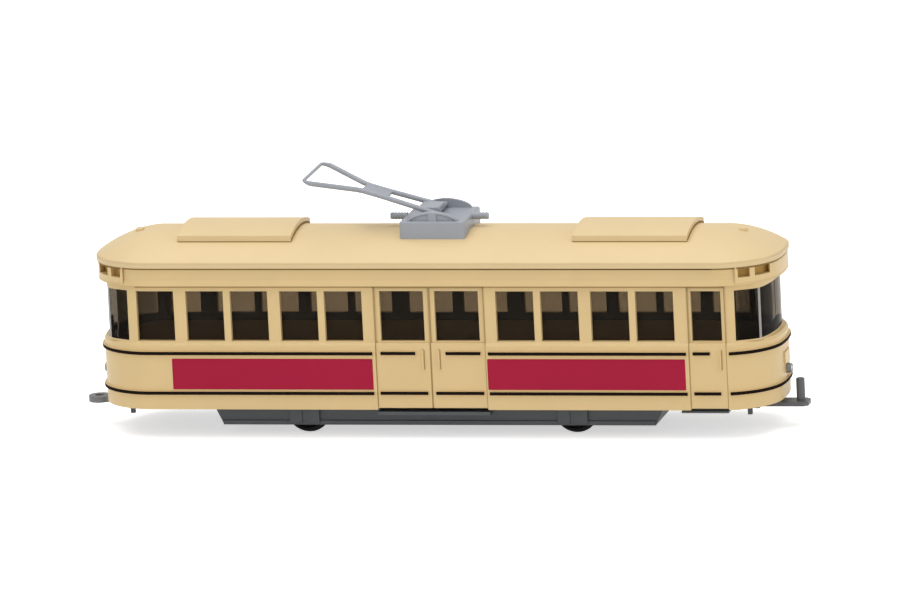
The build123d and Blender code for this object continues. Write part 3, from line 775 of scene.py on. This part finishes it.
def raised(grid):
    """The flat bow turned up about its pivot to its place over the roof."""
    x, y, z = np.moveaxis(grid, 2, 0)
    along = x * cos(BOW_RISE) + z * sin(BOW_RISE)
    up = z * cos(BOW_RISE) - x * sin(BOW_RISE)
    return np.stack([along, y, up], axis=2) + [0, 0, BOW_PIVOT_Z]


def make_bow(material):
    """Lyre-shaped bow: one round rod from root to root, thinner across the head, with a web at the waist,
    a cross bar at the root, the pivot rod and a hinge block over it."""
    far = [(x, -y) for x, y in reversed(BOW_ROUTE)]
    route = rounded_route([*BOW_ROUTE, *far], [*BOW_BENDS, *reversed(BOW_BENDS)])
    head = np.clip((np.abs(route[:, 0]) - BOW_THIN_X) / BOW_THIN_RUN, 0, 1)
    rod = tube(route, BOW_ARM_R + (BOW_HEAD_R - BOW_ARM_R) * head)
    web = lying_plate(BOW_WEB_X, BOW_WEB_Y, (-BOW_WEB_HALF, BOW_WEB_HALF), corner_r=0.5, edge=0.1)
    root = lying_plate(BOW_ROOT_X, BOW_ROOT_Y, (-BOW_ROOT_HALF, BOW_ROOT_HALF), corner_r=0.3, edge=0.12)
    hinge = lying_plate(HINGE_X, HINGE_Y, HINGE_Z, corner_r=0.3, edge=0.15)
    pivot = turned([(PIVOT_R, y) for y in PIVOT_Y], 28)
    pivot = np.stack([pivot[..., 1], pivot[..., 0], pivot[..., 2]], axis=2)
    add_piece("bow_rods", [hinge, *[raised(grid) for grid in (rod, web, root, pivot)]], material, "bow",
              stands_for=("collector_bow",))


def make_floor():
    """Square of pale paper that the car stands on."""
    s = FLOOR_HALF_SIZE
    mesh = bpy.data.meshes.new("floor")
    mesh.from_pydata([(-s, -s, 0), (s, -s, 0), (s, s, 0), (-s, s, 0)], [], [(0, 1, 2, 3)])
    mesh.materials.append(studio_floor("studio_paper"))
    floor = bpy.data.objects.new("floor", mesh)
    bpy.context.scene.collection.objects.link(floor)


def make_lights():
    """Soft square lights, each aimed at the car."""
    for name, place, width, watts in LIGHTS:
        light = bpy.data.lights.new(name, "AREA")
        light.shape = "SQUARE"
        light.size = width
        light.energy = watts
        lamp = bpy.data.objects.new(name, light)
        lamp.location = place
        lamp.rotation_euler = (Vector(LIGHT_AIM) - Vector(place)).to_track_quat("-Z", "Y").to_euler()
        bpy.context.scene.collection.objects.link(lamp)


def make_surroundings():
    """Even light from all round, which the eye sees as white, with colours shown as they are."""
    world = bpy.data.worlds.new("studio")
    bpy.context.scene.world = world
    world.use_nodes = True
    tree = world.node_tree
    tree.nodes.clear()
    level = add_node(tree, "ShaderNodeMapRange", {
        "Value": background_seen(tree), "To Min": WORLD_LIGHT, "To Max": 1.0})
    sky = add_node(tree, "ShaderNodeBackground", {"Strength": level.outputs["Result"]})
    add_node(tree, "ShaderNodeOutputWorld", {"Surface": sky.outputs[0]})
    bpy.context.scene.view_settings.view_transform = "Standard"


def make_camera():
    """Long lens at the photograph's azimuth and elevation, turned by its small roll."""
    a, e = CAMERA_AZIMUTH, CAMERA_ELEVATION
    back = Vector((sin(a) * cos(e), -cos(a) * cos(e), sin(e)))
    right = Vector((cos(a), sin(a), 0.0))
    up = Vector((-sin(a) * sin(e), cos(a) * sin(e), cos(e)))
    rolled_right = right * cos(CAMERA_ROLL) - up * sin(CAMERA_ROLL)
    rolled_up = right * sin(CAMERA_ROLL) + up * cos(CAMERA_ROLL)
    aim = Vector((0, 0, CAMERA_AIM_Z)) + rolled_right * CAMERA_AIM_RIGHT + rolled_up * CAMERA_AIM_UP
    lens = bpy.data.cameras.new("camera")
    lens.lens = CAMERA_LENS
    lens.sensor_width = CAMERA_SENSOR
    lens.clip_start, lens.clip_end = CAMERA_CLIP
    camera = bpy.data.objects.new("camera", lens)
    bpy.context.scene.collection.objects.link(camera)
    turn = Matrix((rolled_right, rolled_up, back)).transposed()
    camera.matrix_world = Matrix.Translation(aim * MM + back * CAMERA_DISTANCE) @ turn.to_4x4()
    bpy.context.scene.camera = camera


make_floor()
make_lights()
make_surroundings()
make_camera()

MOULDING = make_moulding_group()
# corner_shade paints shade into the narrow corners of the plastics that take it
cream = plastic("cream_plastic", (0.7, 0.512, 0.241), (0.673, 0.489, 0.227), 0.42, corner_shade=0.85)
# The walls' cream, made paler and less yellow for the roof: painted light of the top lamp
roof_lit_cream = plastic("roof_lit_plastic", (0.705, 0.535, 0.287), (0.68, 0.513, 0.272), 0.48, corner_shade=0.85)
smoked = smoked_plastic("smoked_glazing", (0.29, 0.24, 0.175), 0.04, 1.03, clear=0.97, coat=0.06, cab=0.36)
chassis_grey = plastic("chassis_plastic", (0.06, 0.067, 0.073), (0.052, 0.058, 0.063), 0.5)
black = plastic("wheel_plastic", (0.006, 0.006, 0.006), (0.004, 0.004, 0.004), 0.6, specular=0.12)
coupling_dark = plastic("front_coupling_plastic", (0.102, 0.103, 0.108), (0.088, 0.089, 0.094), 0.45)
coupling_pale = plastic("rear_coupling_plastic", (0.178, 0.18, 0.184), (0.158, 0.161, 0.166), 0.5)
collector_grey = plastic("collector_plastic", (0.315, 0.334, 0.37), (0.29, 0.308, 0.342), 0.4, corner_shade=0.6)
lamp_grey = plastic("lamp_plastic", (0.24, 0.24, 0.243), (0.215, 0.216, 0.22), 0.35)
steel = turned_steel("axle_steel")
print_black = plastic(
    "bead_print", (0.01, 0.006, 0.004), (0.007, 0.004, 0.003), 0.7, bump=0.02, edge=0.03, specular=0.05)
board_red = plastic(
    "board_red", (0.385, 0.0092, 0.043), (0.36, 0.0072, 0.038), 0.55, bump=0.02, edge=0.03, specular=0.15)
# Brown of the painted shadow under the roof's rim and under the roof boards
shadow_brown = plastic(
    "painted_shadow_brown", (0.27, 0.175, 0.06), (0.25, 0.16, 0.052), 0.6, edge=0.03, specular=0.1)
vent_shade = plastic("vent_shade", (0.5, 0.32, 0.095), (0.48, 0.3, 0.085), 0.6, edge=0.03, specular=0.1)
# Brown of the door joints, and of the painted shadow under the lip and beside the handles
door_shade = plastic(
    "door_line_shadow_brown", (0.43, 0.3, 0.125), (0.41, 0.28, 0.115), 0.6, edge=0.03, specular=0.1)
# Pale grey of the painted highlight on the bends of the cab glass
bend_highlight_grey = plastic(
    "cab_bend_highlight_plastic", (0.31, 0.295, 0.275), (0.285, 0.272, 0.255), 0.3, bump=0.02, edge=0.05)
lens_clear = smoked_plastic("lens_clear", (0.8, 0.8, 0.76), 0.05, 1.45)

FINISHES = {
    "body_shell": cream,
    "roof": roof_lit_cream,
    "glazing": smoked,
    "chassis": chassis_grey,
    "headlamp_front": lamp_grey,
    "headlamp_rear": lamp_grey,
    "axle_front": steel,
    "axle_rear": steel,
    "wheel_front_left": black,
    "wheel_front_right": black,
    "wheel_rear_left": black,
    "wheel_rear_right": black,
    "coupling_front": coupling_dark,
    "coupling_rear": coupling_pale,
    "collector_base": collector_grey,
    "collector_bow": collector_grey,
}
for name, finish in FINISHES.items():
    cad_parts[name].material_slots[0].material = finish

make_bead_prints(print_black)
make_side_boards(board_red)
make_rim_shadow_line(shadow_brown)
make_vent_shade_floors(vent_shade)
make_door_lines_and_shadows(door_shade)
make_board_shadow_lines(shadow_brown)
make_cab_bend_highlights(bend_highlight_grey)
make_roof_nubs(roof_lit_cream)
make_roof_crown(roof_lit_cream)
make_lamp_fronts(lamp_grey, lens_clear)
make_pin_cap(coupling_dark)
make_wheels(black)
make_collector_base(collector_grey)
make_conduit_sleeves(collector_grey)
make_bow(collector_grey)
